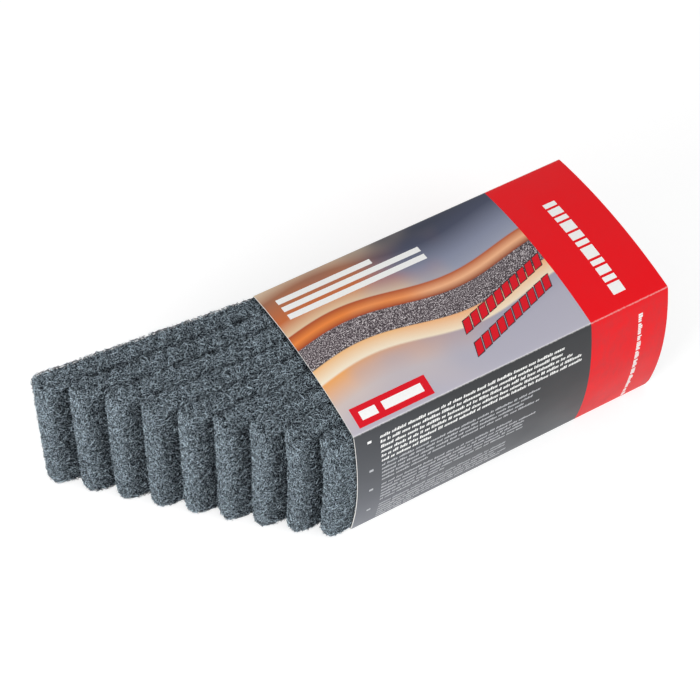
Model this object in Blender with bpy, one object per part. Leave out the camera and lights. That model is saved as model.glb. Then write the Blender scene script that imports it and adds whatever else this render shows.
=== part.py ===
"""A pack of abrasive hand pads: soft fleece pads on edge, pulled out in steps from a folded card sleeve.

Sizes are in metres. X runs along the sleeve, from the end where the pads stand out to the far end.
Y runs from the front panel to the back, and Z is up. The origin is the middle of the sleeve's underside.
"""

import math

import bmesh
import bpy
from mathutils import Vector

# The pads, all cut to one size and standing on edge side by side
PAD_COUNT = 9
PAD_LENGTH = 0.130
PAD_HEIGHT = 0.0610
PAD_THICKNESS = 0.00744
PAD_GAP = 0.0003
PAD_EDGE_ROUND = 0.0010
PAD_END_ROUND = 0.0015
FULLEST_ROUND = 0.4  # no round takes more than this share of a pad's thickness

# How the pads stand out of the sleeve: the front one's reach, each one's step past it, and how much they
# fan apart by the furthest reach. A little way from the mouth they have sprung back to their full height,
# and have drifted towards the front. Under the crown of the sleeve the middle ones ride up a little.
FRONT_PAD_REACH = 0.0098
STEP_BETWEEN_PADS = 0.0094
SPREAD_PER_PAD = 0.00104
SPRING_BACK_LENGTH = 0.014
FORWARD_DRIFT = 0.0008
RIDE_UP = 0.0012

# The sleeve: one strip of printed card, folded round the stack and glued along a flap
SLEEVE_LENGTH = 0.132
CARD_THICKNESS = 0.0005
GLUE_FLAP_WIDTH = 0.0145
SLEEVE_FIT = 0.0003
HEIGHT_SQUEEZED_OUT = 0.0026
CROWN_NEAR_END = 0.0044
CROWN_FAR_END = 0.0035
SIDE_BULGE = 0.0038

# The print is a design scaled to its panels. A colour band goes round the far end. On the rest of the
# top panel waves of colour part two plain fields, with a white title stripe and a red tag on them.
# Places along are shares from the near end to the band, places across are shares from the front fold.
BAND_WIDTH = 0.032
WAVE_EDGES = (0.31, 0.40, 0.54, 0.64)
WAVE_SWING = 0.045
WAVE_COUNT = 1.15
TITLE_ALONG = (0.05, 0.62)
TITLE_ACROSS = (0.74, 0.90)
TAG_ALONG = (0.035, 0.34)
TAG_ACROSS = (0.024, 0.136)

# How finely the round shapes are cut up
STATION_SPACING = 0.010
TOP_SEGMENT_WIDTH = 0.0065
SIDE_SEGMENTS = 8
BOTTOM_SEGMENTS = 4
ROUND_STEPS = 3
SIDE_LEVELS = (0.25, 0.5, 0.75)
PAD_STRETCH = 0.024

# Derived sizes
PITCH = PAD_THICKNESS + PAD_GAP
WALL_AND_FIT = CARD_THICKNESS + SLEEVE_FIT
SLEEVE_WIDTH = PAD_COUNT * PITCH - PAD_GAP + 2 * WALL_AND_FIT
SLEEVE_HEIGHT = PAD_HEIGHT - HEIGHT_SQUEEZED_OUT + 2 * WALL_AND_FIT
LONGEST_REACH = FRONT_PAD_REACH + (PAD_COUNT - 1) * STEP_BETWEEN_PADS
PICTURE_LENGTH = SLEEVE_LENGTH - BAND_WIDTH

# The finishes: a name, an sRGB hex colour and a roughness
FLEECE = ("grey_abrasive_fleece", "515A63", 0.95)
BARE_CARD = ("bare_card", "E9E8E4", 0.7)
RED_PRINT = ("card_printed_red", "DC2026", 0.35)
GREY_PRINT = ("card_printed_grey", "5B5E63", 0.35)
LILAC_PRINT = ("card_printed_lilac", "B4B1BE", 0.35)
CREAM_PRINT = ("card_printed_cream", "EBC9A0", 0.35)
CHARCOAL_PRINT = ("card_printed_charcoal", "6E6A70", 0.35)
COPPER_PRINT = ("card_printed_copper", "C77B52", 0.35)
SLATE_PRINT = ("card_printed_slate_blue", "6F7388", 0.35)
SLEEVE_FINISHES = (
    BARE_CARD, RED_PRINT, GREY_PRINT, LILAC_PRINT, CREAM_PRINT, CHARCOAL_PRINT, COPPER_PRINT, SLATE_PRINT
)

# The finish of each strip of the top panel, from the front fold: a field with the tag in it, the waves,
# and a field with the title stripe in it
TOP_STRIPS = (
    LILAC_PRINT, RED_PRINT, LILAC_PRINT, CREAM_PRINT, CHARCOAL_PRINT, COPPER_PRINT, SLATE_PRINT, BARE_CARD, SLATE_PRINT
)
TAG_STRIP = 1
TITLE_STRIP = 7


def linear_colour(hex_code):
    """The linear RGBA of an sRGB hex code."""
    channels = [int(hex_code[i : i + 2], 16) / 255 for i in (0, 2, 4)]
    curve = [c / 12.92 if c <= 0.04045 else ((c + 0.055) / 1.055) ** 2.4 for c in channels]
    return (*curve, 1.0)


def make_material(finish):
    """A plain Principled material of one finish."""
    name, hex_code, roughness = finish
    material = bpy.data.materials.new(name)
    material.use_nodes = True
    shader = material.node_tree.nodes["Principled BSDF"]
    shader.inputs["Base Color"].default_value = linear_colour(hex_code)
    shader.inputs["Roughness"].default_value = roughness
    shader.inputs["Metallic"].default_value = 0.0
    return material


def clear_scene():
    for obj in list(bpy.data.objects):
        bpy.data.objects.remove(obj, do_unlink=True)


def arc_rise(chord, rise, along):
    """Height above its chord of a circular arc that stands rise above it, at a distance along the chord."""
    radius = (chord * chord / 4 + rise * rise) / (2 * rise)
    off_middle = min(abs(along - chord / 2), chord / 2)
    return math.sqrt(radius * radius - off_middle * off_middle) - (radius - rise)


def bulge_at(z):
    """How far the front and back panels bow out at a height."""
    return arc_rise(SLEEVE_HEIGHT, SIDE_BULGE, z)


def top_panel_z(x, y):
    """Height of the top panel's outer face. Its crown is higher at the near end than at the far one."""
    share = min(max(x / SLEEVE_LENGTH, 0.0), 1.0)
    crown = CROWN_NEAR_END + (CROWN_FAR_END - CROWN_NEAR_END) * share
    return SLEEVE_HEIGHT + arc_rise(SLEEVE_WIDTH, crown, y)


def top_strip_edges(x):
    """The edges of the top panel's printed strips at a place along it, as shares from the front fold."""
    swing = WAVE_SWING * math.sin(2 * math.pi * WAVE_COUNT * x / PICTURE_LENGTH)
    waves = [edge + swing for edge in WAVE_EDGES]
    return [0.0, *TAG_ACROSS, *waves, *TITLE_ACROSS, 1.0]


def top_panel_points(x):
    """Points across the top panel from the back fold, with the number of the strip that follows each."""
    here = top_strip_edges(x)
    at_start = top_strip_edges(0.0)
    found = []
    for strip in reversed(range(len(TOP_STRIPS))):
        width = (at_start[strip + 1] - at_start[strip]) * SLEEVE_WIDTH
        pieces = max(1, round(width / TOP_SEGMENT_WIDTH))
        for i in range(pieces):
            share = here[strip + 1] + (here[strip] - here[strip + 1]) * i / pieces
            found.append((share * SLEEVE_WIDTH, strip))
    return found


def sleeve_outline(x):
    """The outer section, anticlockwise seen from the far end, as (y, z) from the front lower fold."""
    flap_edge = SLEEVE_WIDTH - GLUE_FLAP_WIDTH
    points = [(flap_edge * i / BOTTOM_SEGMENTS, 0.0) for i in range(BOTTOM_SEGMENTS + 1)]
    points.append((flap_edge + CARD_THICKNESS, 0.0))
    for i in range(SIDE_SEGMENTS):
        z = SLEEVE_HEIGHT * i / SIDE_SEGMENTS
        points.append((SLEEVE_WIDTH + bulge_at(z), z))
    points += [(y, top_panel_z(x, y)) for y, strip in top_panel_points(x)]
    for i in range(SIDE_SEGMENTS):
        z = SLEEVE_HEIGHT * (1 - i / SIDE_SEGMENTS)
        points.append((-bulge_at(z), z))
    return points


def offset_inwards(points, distance):
    """A closed anticlockwise outline moved inwards, with its corners mitred."""
    moved = []
    for i, point in enumerate(points):
        here = Vector(point)
        before = (here - Vector(points[i - 1])).normalized()
        after = (Vector(points[(i + 1) % len(points)]) - here).normalized()
        inward = Vector((-before.y - after.y, before.x + after.x)).normalized()
        reach = distance / inward.dot(Vector((-before.y, before.x)))
        moved.append(here + inward * reach)
    return moved


def sleeve_inner_outline(x):
    """The inner section: one card inside the outer one, and two where the glue flap lies under the back pads."""
    inner = offset_inwards(sleeve_outline(x), CARD_THICKNESS)
    flap_start = BOTTOM_SEGMENTS + 1
    for i in (flap_start, flap_start + 1):
        inner[i].y += CARD_THICKNESS
    return inner


def sleeve_stations():
    """Places along the sleeve where its mesh is cut: the edges of the print, and enough between for the waves."""
    marks = [0.0, SLEEVE_LENGTH, PICTURE_LENGTH]
    marks += [share * PICTURE_LENGTH for share in (*TAG_ALONG, *TITLE_ALONG)]
    marks.sort()
    stations = [marks[0]]
    for start, end in zip(marks, marks[1:]):
        pieces = math.ceil((end - start) / STATION_SPACING)
        stations += [start + (end - start) * (i + 1) / pieces for i in range(pieces)]
    return stations


def outside_finish(middle, point_number):
    """The finish of an outside face, from the middle of its length and the outline point that it starts at."""
    if middle > PICTURE_LENGTH:
        return RED_PRINT
    top_start = BOTTOM_SEGMENTS + 2 + SIDE_SEGMENTS
    strips = [strip for y, strip in top_panel_points(0.0)]
    if not top_start <= point_number < top_start + len(strips):
        return GREY_PRINT
    strip = strips[point_number - top_start]
    along = middle / PICTURE_LENGTH
    if strip == TAG_STRIP and not TAG_ALONG[0] < along < TAG_ALONG[1]:
        return LILAC_PRINT
    if strip == TITLE_STRIP and not TITLE_ALONG[0] < along < TITLE_ALONG[1]:
        return SLATE_PRINT
    return TOP_STRIPS[strip]


def build_sleeve(parent):
    """The card sleeve, open at both ends."""
    mesh = bpy.data.meshes.new("card_sleeve")
    for finish in SLEEVE_FINISHES:
        mesh.materials.append(make_material(finish))
    shape = bmesh.new()
    stations = sleeve_stations()
    rings = []
    for x in stations:
        outer = [shape.verts.new((x, y, z)) for y, z in sleeve_outline(x)]
        inner = [shape.verts.new((x, y, z)) for y, z in sleeve_inner_outline(x)]
        rings.append((outer, inner))
    count = len(rings[0][0])
    for i in range(count):
        j = (i + 1) % count
        for k in range(len(stations) - 1):
            (outer_a, inner_a), (outer_b, inner_b) = rings[k], rings[k + 1]
            face = shape.faces.new((outer_a[i], outer_a[j], outer_b[j], outer_b[i]))
            middle = (stations[k] + stations[k + 1]) / 2
            face.material_index = SLEEVE_FINISHES.index(outside_finish(middle, i))
            shape.faces.new((inner_a[j], inner_a[i], inner_b[i], inner_b[j]))
        near_outer, near_inner = rings[0]
        far_outer, far_inner = rings[-1]
        shape.faces.new((near_outer[j], near_outer[i], near_inner[i], near_inner[j]))
        shape.faces.new((far_outer[i], far_outer[j], far_inner[j], far_inner[i]))
    bmesh.ops.recalc_face_normals(shape, faces=shape.faces[:])
    shape.to_mesh(mesh)
    shape.free()
    mesh.shade_smooth()
    mesh.set_sharp_from_angle(angle=math.radians(30))
    sleeve = bpy.data.objects.new("card_sleeve", mesh)
    sleeve.parent = parent
    bpy.context.scene.collection.objects.link(sleeve)


def blend(inside, outside, share):
    return inside + (outside - inside) * share


def sprung_back(x):
    """From 0 inside the sleeve to 1 where a pad stands at its own height on the table."""
    return min(max(-x / SPRING_BACK_LENGTH, 0.0), 1.0)


def pad_faces_y(index, x, z):
    """Where a pad's front and back faces lie: between the bowed panels in the sleeve, fanned out past its mouth."""
    bulge = bulge_at(z)
    pitch = (SLEEVE_WIDTH - 2 * WALL_AND_FIT + 2 * bulge + PAD_GAP) / PAD_COUNT
    inside = WALL_AND_FIT - bulge + index * pitch
    outside = WALL_AND_FIT + index * (PITCH + SPREAD_PER_PAD)
    fanned = min(max(-x / LONGEST_REACH, 0.0), 1.0)
    drift = FORWARD_DRIFT * sprung_back(x)
    front = blend(inside, outside, fanned) - drift
    back = blend(inside + pitch - PAD_GAP, outside + PAD_THICKNESS, fanned) - drift
    return front, back


def pad_foot(index, x):
    """Height of a pad's lower edge: on the bottom panel or the glue flap in the sleeve, on the table outside it."""
    back_of_pad = WALL_AND_FIT + (index + 1) * PITCH
    on_flap = back_of_pad > SLEEVE_WIDTH - GLUE_FLAP_WIDTH
    seat = WALL_AND_FIT + (CARD_THICKNESS if on_flap else 0.0)
    return blend(seat, 0.0, sprung_back(x))


def pad_top(index, x):
    """Height of a pad's upper edge: clear of the top panel in the sleeve, its own height outside it."""
    across = [min(max(y, 0.0), SLEEVE_WIDTH) for y in pad_faces_y(index, x, SLEEVE_HEIGHT)]
    ceiling = min(top_panel_z(x, y) for y in across) - WALL_AND_FIT
    return blend(min(ceiling, PAD_HEIGHT + RIDE_UP), PAD_HEIGHT, sprung_back(x))


def quarter_round(radius):
    """Steps round a quarter circle: how far in from one side, and from the other."""
    angles = [math.pi / 2 * i / ROUND_STEPS for i in range(ROUND_STEPS + 1)]
    return [(radius * (1 - math.cos(a)), radius * (1 - math.sin(a))) for a in angles]


def pad_section(index, x, inset):
    """One section of a pad as (y, z), from the middle of its foot, drawn in by inset where the ends round off."""
    foot = pad_foot(index, x) + inset
    top = pad_top(index, x) - inset
    corner = quarter_round(min(PAD_EDGE_ROUND, FULLEST_ROUND * (PAD_THICKNESS - 2 * inset)))
    profile = [(aside, foot + up) for up, aside in corner]
    profile += [(0.0, foot + (top - foot) * share) for share in SIDE_LEVELS]
    profile += [(aside, top - down) for down, aside in reversed(corner)]
    back_side = []
    front_side = []
    for aside, z in profile:
        front, back = pad_faces_y(index, x, z)
        back_side.append((back - inset - aside, z))
        front_side.append((front + inset + aside, z))
    return back_side + front_side[::-1]


def pad_stations(near):
    """(x, inset) along a pad: round at both ends, and cut at the sleeve's mouth and between."""
    far = near + PAD_LENGTH
    end_round = min(PAD_END_ROUND, FULLEST_ROUND * PAD_THICKNESS)
    ends = quarter_round(end_round)
    marks = [near + end_round, -SPRING_BACK_LENGTH, 0.0, far - end_round]
    marks = [mark for mark in marks if marks[0] <= mark <= marks[-1]]
    stations = [(near + along, inset) for along, inset in ends[:-1]]
    for start, end in zip(marks, marks[1:]):
        pieces = math.ceil((end - start) / PAD_STRETCH)
        stations += [(start + (end - start) * i / pieces, 0.0) for i in range(pieces)]
    stations += [(far - along, inset) for along, inset in reversed(ends)]
    return stations


def build_pad(index, parent, material):
    """One fleece pad. Index 0 is next to the front panel. Its origin is its front lower corner at the near end."""
    near = -(FRONT_PAD_REACH + index * STEP_BETWEEN_PADS)
    place = Vector((near, WALL_AND_FIT + index * PITCH, pad_foot(index, near)))
    name = f"fleece_pad_{index + 1}"
    mesh = bpy.data.meshes.new(name)
    shape = bmesh.new()
    rings = []
    for x, inset in pad_stations(near):
        rings.append([shape.verts.new(Vector((x, y, z)) - place) for y, z in pad_section(index, x, inset)])
    count = len(rings[0])
    for ring_a, ring_b in zip(rings, rings[1:]):
        for i in range(count):
            j = (i + 1) % count
            shape.faces.new((ring_a[i], ring_a[j], ring_b[j], ring_b[i]))
    shape.faces.new(rings[0][::-1])
    shape.faces.new(rings[-1])
    bmesh.ops.recalc_face_normals(shape, faces=shape.faces[:])
    shape.to_mesh(mesh)
    shape.free()
    mesh.materials.append(material)
    mesh.shade_smooth()
    mesh.set_sharp_from_angle(angle=math.radians(50))
    pad = bpy.data.objects.new(name, mesh)
    pad.location = place
    pad.parent = parent
    bpy.context.scene.collection.objects.link(pad)


def main():
    clear_scene()
    pack = bpy.data.objects.new("pack", None)
    pack.location = (-SLEEVE_LENGTH / 2, -SLEEVE_WIDTH / 2, 0.0)
    bpy.context.scene.collection.objects.link(pack)
    fleece = make_material(FLEECE)
    build_sleeve(pack)
    for index in range(PAD_COUNT):
        build_pad(index, pack, fleece)


main()
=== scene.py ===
"""A pack of nine abrasive hand pads in a printed card sleeve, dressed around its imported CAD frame.

Lengths are in metres, in the frame's own axes: +X runs from the stepped ends of the pads to the red end of
the sleeve, -Y is the long side with the rows of ticks, and the pack lies on the table at z = 0.
"""

import math

import bmesh
import bpy
import numpy as np
from bpy.props import FloatProperty, FloatVectorProperty, IntProperty, PointerProperty
from mathutils import Matrix, Vector
from mathutils.bvhtree import BVHTree


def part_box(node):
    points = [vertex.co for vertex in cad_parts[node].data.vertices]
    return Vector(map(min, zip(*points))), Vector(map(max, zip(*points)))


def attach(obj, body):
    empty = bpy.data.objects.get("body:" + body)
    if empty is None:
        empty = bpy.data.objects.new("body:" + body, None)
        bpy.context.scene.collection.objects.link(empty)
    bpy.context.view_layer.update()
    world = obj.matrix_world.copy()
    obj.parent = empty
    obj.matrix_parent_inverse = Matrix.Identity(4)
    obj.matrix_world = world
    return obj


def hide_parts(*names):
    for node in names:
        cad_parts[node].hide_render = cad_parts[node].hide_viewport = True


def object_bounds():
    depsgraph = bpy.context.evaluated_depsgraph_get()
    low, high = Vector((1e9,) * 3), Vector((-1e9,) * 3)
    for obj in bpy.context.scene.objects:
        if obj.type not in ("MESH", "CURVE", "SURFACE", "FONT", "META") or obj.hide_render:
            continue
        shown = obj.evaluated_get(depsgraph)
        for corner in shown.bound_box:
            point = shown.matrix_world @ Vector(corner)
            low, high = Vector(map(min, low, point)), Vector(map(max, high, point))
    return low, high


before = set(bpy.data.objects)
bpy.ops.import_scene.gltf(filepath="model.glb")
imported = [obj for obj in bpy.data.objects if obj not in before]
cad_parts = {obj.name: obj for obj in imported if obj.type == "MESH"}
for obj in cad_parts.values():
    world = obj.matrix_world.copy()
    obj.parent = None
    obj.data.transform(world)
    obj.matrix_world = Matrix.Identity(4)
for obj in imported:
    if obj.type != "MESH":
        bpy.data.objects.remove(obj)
CAD_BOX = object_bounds()

bl_info = {
    "name": "Pack of abrasive hand pads",
    "version": (1, 0, 0),
    "blender": (4, 5, 0),
    "location": "View3D > Sidebar > Hand pads",
    "description": "Dresses a sleeve of abrasive hand pads with web, card and print",
    "category": "Object",
}

MM = 0.001
PAD_NODES = sorted(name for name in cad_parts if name.startswith("fleece_pad_"))
SLEEVE_NODE = "card_sleeve"
# The short fibres that fill the web, and the long pale strands that lie loosely over them. Each kind has the
# thickness at its points, its length, number and least rise as shares of the settings, and its range of tones.
SHORT_FIBRES = {"taper": (0.6, 1.0, 0.6), "length": 1.0, "number": 1.0, "loose": 0.0, "tones": (0.0, 0.45)}
LONG_STRANDS = {
    "taper": (0.4, 0.8, 0.8, 0.4), "length": 1.7, "number": 0.13, "loose": 0.35, "tones": (0.75, 1.25)
}
# Steps of a sequence that fills a square evenly.
EVEN_SPREAD = np.array([0.7548776662, 0.5698402910])


def linear(hex_code):
    """An sRGB colour written as six hex digits, as linear red, green and blue."""
    parts = [int(hex_code[i : i + 2], 16) / 255 for i in (0, 2, 4)]
    return [p / 12.92 if p <= 0.04045 else ((p + 0.055) / 1.055) ** 2.4 for p in parts]


def node_points(name):
    """The corners of a CAD node's mesh, one to a row."""
    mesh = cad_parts[name].data
    found = np.empty(len(mesh.vertices) * 3)
    mesh.vertices.foreach_get("co", found)
    return found.reshape(-1, 3)


def sleeve_sizes():
    """The sleeve's main sizes, read from its CAD node."""
    x, y, z = node_points(SLEEVE_NODE).T
    close = 0.02 * MM
    half_width = abs(y[z < close]).max()
    fold_height = z[abs(abs(y) - half_width) < close].max()
    return {
        "start": x.min(),
        "end": x.max(),
        "half_width": half_width,
        "height": fold_height,
        "bulge": abs(y).max() - half_width,
        "near_crown": z[x < x.min() + close].max() - fold_height,
        "far_crown": z[x > x.max() - close].max() - fold_height,
    }


SLEEVE = sleeve_sizes()
WIDTH = 2 * SLEEVE["half_width"]
HEIGHT = SLEEVE["height"]
PICTURE_LENGTH = 98.4 * MM
BAND_START = SLEEVE["start"] + PICTURE_LENGTH
FLAP_WIDTH = 14.5 * MM

# The printed waves on top: their swing as a share of the panel's width, and their number along the picture.
WAVE_SWING = 0.045
WAVE_COUNT = 1.15

# The photograph's viewpoint.
CAMERA_PLACE = (-0.28445, -0.38289, 0.66427)
CAMERA_RIGHT = (0.86118621, -0.50800179, 0.01710239)
CAMERA_UP = (0.39958085, 0.69741548, 0.59493428)
CAMERA_AHEAD = (0.31415515, 0.50551541, -0.80359238)
CAMERA_LENS_MM = 109.733


def colour_property(name, description, hex_code):
    """A colour that a user can change, given as sRGB."""
    return FloatVectorProperty(
        name=name, description=description, default=linear(hex_code), subtype="COLOR", min=0, max=1
    )


def length_property(name, description, usual, least, most):
    """A length that a user can change, given in millimetres."""
    low, high = least * MM, most * MM
    return FloatProperty(
        name=name, description=description, default=usual * MM, min=low, max=high, precision=6, unit="LENGTH"
    )


class FleeceSettings(bpy.types.PropertyGroup):
    """The non-woven web of the pads."""

    # Real fibres are 0.05 to 0.1 mm thick, too fine to show, so they are drawn coarser.
    fibre_thickness: length_property("Fibre thickness", "Thickness of one drawn fibre", 0.21, 0.05, 1)
    fibre_length: length_property("Fibre length", "Mean length of one drawn fibre", 2.0, 0.5, 10)
    fibre_rise: length_property("Fibre rise", "How far a fibre arches out of the web at most", 0.75, 0, 3)
    fibres_per_square_mm: FloatProperty(
        name="Fibres per square millimetre",
        description="Fibres drawn on a face in full view",
        default=2.05,
        min=0.1,
        max=3,
    )
    end_round: length_property("End round", "How far the soft upright edges of a pad's ends reach", 3.1, 0.3, 3.6)
    edge_round: length_property("Edge round", "How far down a pad's soft long edges reach", 1.2, 0.2, 3)
    pit_depth: length_property("Pit depth", "Depth of the pits between fibres", 0.35, 0, 1.5)
    # The pit colour is painted shade: a near-black body that stands for the web in shade deep between the fibres.
    pit_shade_colour: colour_property("Pit colour", "Web seen deep between fibres", "070E17")
    fibre_colour: colour_property("Fibre colour", "Grit-coated fibre in full light", "D4E7F3")
    seed: IntProperty(name="Seed", description="Starts the random lay of the fibres", default=7, min=0)


class SleeveSettings(bpy.types.PropertyGroup):
    """The folded card sleeve and its fields of print."""

    card_thickness: length_property("Card thickness", "Thickness of the folding boxboard", 0.5, 0.2, 1)
    fold_round: length_property("Fold round", "How far from its edge a fold starts to bend", 0.9, 0.6, 3)
    bare: colour_property("Bare card", "Unprinted inside and cut edges", "E9E8E4")
    red: colour_property("Band red", "Red end band", "EE0A18")
    # The worn red also serves as a painted sheen where it is laid on thickly on the band's long sides.
    worn_and_sheen_red: colour_property("Worn red", "Red where the varnish is rubbed", "D42A30")
    dark_grey: colour_property("Dark grey", "Long sides at their top and far end", "2E3033")
    # The pale grey is a painted reflection of the table, lightening the long sides low at their near end.
    pale_grey_reflection: colour_property("Pale grey", "Long sides low at their near end", "6D717B")


class PrintSettings(bpy.types.PropertyGroup):
    """The bars, dashes, stripes and ticks printed over the fields of colour."""

    ink_height: length_property("Ink height", "How far a printed shape stands over the card", 0.03, 0.005, 0.2)
    white: colour_property("White ink", "Stripes and bars", "FFFFFD")
    red: colour_property("Red ink", "Tag and slanted dashes", "E00C22")
    dark: colour_property("Dark ink", "Rim of the slanted dashes", "4A2A30")
    pale: colour_property("Pale ink", "Lower rows of ticks", "C4C6CA")
    seed: IntProperty(name="Seed", description="Starts the random lengths of the ticks", default=11, min=0)


class StageSettings(bpy.types.PropertyGroup):
    """The floor, the light and the camera."""

    floor: colour_property("Floor", "Pale floor under the pack", "C2C2C2")
    sky_strength: FloatProperty(
        name="Sky strength", description="Light that comes from all around", default=0.55, min=0, max=2
    )
    key_power: FloatProperty(
        name="Key power", description="Power of the lamp at the left", default=4.3, min=0, max=50, unit="POWER"
    )
    fill_power: FloatProperty(
        name="Fill power", description="Power of the lamp at the front", default=2.5, min=0, max=50, unit="POWER"
    )


def add_node(tree, kind, inputs=None, stops=(), **settings):
    """Adds one shader node, sets its properties and colour stops, and fills or links its inputs."""
    node = tree.nodes.new(kind)
    for name, value in settings.items():
        setattr(node, name, value)
    if stops:
        ramp = node.color_ramp.elements
        while len(ramp) < len(stops):
            ramp.new(0.5)
        for element, (place, colour) in zip(ramp, stops):
            element.position = place
            element.color = (*(linear(colour) if isinstance(colour, str) else colour), 1)
    for key, value in (inputs or {}).items():
        if isinstance(value, bpy.types.NodeSocket):
            tree.links.new(value, node.inputs[key])
        else:
            node.inputs[key].default_value = value
    return node


def new_material(name):
    """A material, its node tree, and the object coordinates that its patterns are laid by."""
    material = bpy.data.materials.new(name)
    material.use_nodes = True
    tree = material.node_tree
    tree.nodes.clear()
    return material, tree, add_node(tree, "ShaderNodeTexCoord").outputs["Object"]


def finish_material(tree, shader):
    add_node(tree, "ShaderNodeOutputMaterial", {"Surface": shader.outputs[0]})


def mesh_object(name, points, faces, materials, face_materials=None, smooth=True):
    """A mesh object from rows of points and a list of faces, all wound outwards."""
    mesh = bpy.data.meshes.new(name)
    mesh.from_pydata(points, [], faces)
    for material in materials:
        mesh.materials.append(material)
    if face_materials is not None:
        mesh.polygons.foreach_set("material_index", face_materials)
    if smooth:
        mesh.shade_smooth()
    piece = bpy.data.objects.new(name, mesh)
    bpy.context.scene.collection.objects.link(piece)
    return piece


def paint_values(mesh, name, values):
    """Stores one number a corner point for the materials to read."""
    mesh.attributes.new(name, "FLOAT", "POINT").data.foreach_set("value", np.asarray(values, np.float32))


# The pads


def nylon_web(settings):
    """Non-woven nylon fibre bonded with abrasive grit: matt, rough, dark between the fibres, where the dark is
    painted shade, and pale on them.
    """
    material, tree, place = new_material("non-woven nylon web with bonded grit")
    tone = add_node(tree, "ShaderNodeAttribute", attribute_name="tone").outputs["Fac"]
    # Thick and thin patches of the web are 4 mm across. Its strands and the gaps between them are too fine to
    # show, so they are drawn at 0.45 mm, the gaps dark with painted shade.
    patches = add_node(
        tree, "ShaderNodeTexNoise", {"Vector": place, "Scale": 1 / (4 * MM), "Detail": 1.0}
    ).outputs[0]
    grit = add_node(
        tree, "ShaderNodeTexNoise", {"Vector": place, "Scale": 1 / (0.45 * MM), "Detail": 1.0, "Roughness": 0.7}
    ).outputs[0]
    strands = add_node(
        tree, "ShaderNodeMapRange", {"Value": grit, "From Min": 0.40, "From Max": 0.60, "To Max": 1.05}
    ).outputs[0]
    speckled = add_node(tree, "ShaderNodeMath", {0: strands, 1: tone}, operation="ADD").outputs[0]
    shaded = add_node(
        tree, "ShaderNodeMath", {0: patches, 1: 0.12, 2: speckled}, operation="MULTIPLY_ADD"
    ).outputs[0]
    # The mix runs from the pit colour, painted shade, to the fibre colour; the tone also carries the painted shade of
    # the pits and grooves.
    depth = add_node(tree, "ShaderNodeMapRange", {"Value": shaded, "From Min": 0.65, "From Max": 1.72}).outputs[0]
    colour = add_node(
        tree,
        "ShaderNodeMix",
        {0: depth, 6: (*settings.pit_shade_colour, 1), 7: (*settings.fibre_colour, 1)},
        data_type="RGBA",
    ).outputs[2]
    bump = add_node(tree, "ShaderNodeBump", {"Height": grit, "Strength": 0.5, "Distance": 0.1 * MM}).outputs[0]
    shader = add_node(
        tree,
        "ShaderNodeBsdfPrincipled",
        {"Base Color": colour, "Roughness": 0.88, "Specular IOR Level": 0.25, "Normal": bump},
    )
    finish_material(tree, shader)
    return material


def smooth_noise(points, size, seed):
    """Soft random values from 0 to 1 that change over about the given size."""
    table = np.random.default_rng(seed).random((24, 24, 24))
    scaled = points / size + 1000
    cell = np.floor(scaled).astype(int)
    part = scaled - cell
    part = part * part * (3 - 2 * part)
    total = np.zeros(len(points))
    for corner in np.ndindex(2, 2, 2):
        weight = np.prod(np.where(corner, part, 1 - part), axis=1)
        i, j, k = ((cell + corner) % 24).T
        total += weight * table[i, j, k]
    return total


def measure_pad(index):
    """Reads a CAD pad with rays: its ends, and its front, back, foot and top at stations along it."""
    name = PAD_NODES[index]
    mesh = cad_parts[name].data
    tree = BVHTree.FromPolygons([v.co for v in mesh.vertices], [p.vertices for p in mesh.polygons])
    low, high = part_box(name)
    clear = 2.2 * MM
    stations = np.linspace(low.x + clear, high.x - clear, round((high.x - low.x) / (3 * MM)))
    shares = np.array([0.10, 0.3, 0.5, 0.7, 0.90])
    outside = 0.2

    def hit(start, direction):
        found = tree.ray_cast(Vector(start), Vector(direction))[0]
        if found is None:
            raise RuntimeError(f"no face of {name} at {start}")
        return found

    middle_height = (low.z + high.z) / 2
    front, back, foot, top = [], [], [], []
    for x in stations:
        nearer = hit((x, -outside, middle_height), (0, 1, 0)).y
        further = hit((x, outside, middle_height), (0, -1, 0)).y
        y = (nearer + further) / 2
        foot.append(hit((x, y, -outside), (0, 0, 1)).z)
        top.append(hit((x, y, outside), (0, 0, -1)).z)
        levels = [foot[-1] + share * (top[-1] - foot[-1]) for share in shares]
        front.append([hit((x, -outside, z), (0, 1, 0)).y for z in levels])
        back.append([hit((x, outside, z), (0, -1, 0)).y for z in levels])
    return {
        "near": low.x,
        "far": high.x,
        "front_end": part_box(PAD_NODES[index - 1])[0].x if index else None,
        "outermost": index == len(PAD_NODES) - 1,
        "stations": stations,
        "shares": shares,
        "front": np.array(front),
        "back": np.array(back),
        "foot": np.array(foot),
        "top": np.array(top),
        "thickness": float(np.median(np.array(back) - np.array(front))),
        "height": float(np.median(np.array(top) - np.array(foot))),
    }


def cell_and_part(marks, values):
    """The cell of a rising row of marks that each value lies in, and how far along it, past the ends too."""
    cell = np.clip(np.searchsorted(marks, values) - 1, 0, len(marks) - 2)
    return cell, (values - marks[cell]) / (marks[cell + 1] - marks[cell])


def lay_on_pad(pad, points):
    """Bends points of a straight pad (length, thickness, height) on to the real one's curved place."""
    along, across, up = points.T
    i, s = cell_and_part(pad["stations"], along)
    share = up / pad["height"]
    j, t = cell_and_part(pad["shares"], share)

    def read_line(line):
        return line[i] * (1 - s) + line[i + 1] * s

    def read_sheet(sheet):
        low = sheet[i, j] * (1 - t) + sheet[i, j + 1] * t
        high = sheet[i + 1, j] * (1 - t) + sheet[i + 1, j + 1] * t
        return low * (1 - s) + high * s

    front, back = read_sheet(pad["front"]), read_sheet(pad["back"])
    foot, top = read_line(pad["foot"]), read_line(pad["top"])
    y = front + (back - front) * across / pad["thickness"]
    z = foot + (top - foot) * share
    return np.stack([along, y, z], axis=1)


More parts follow.
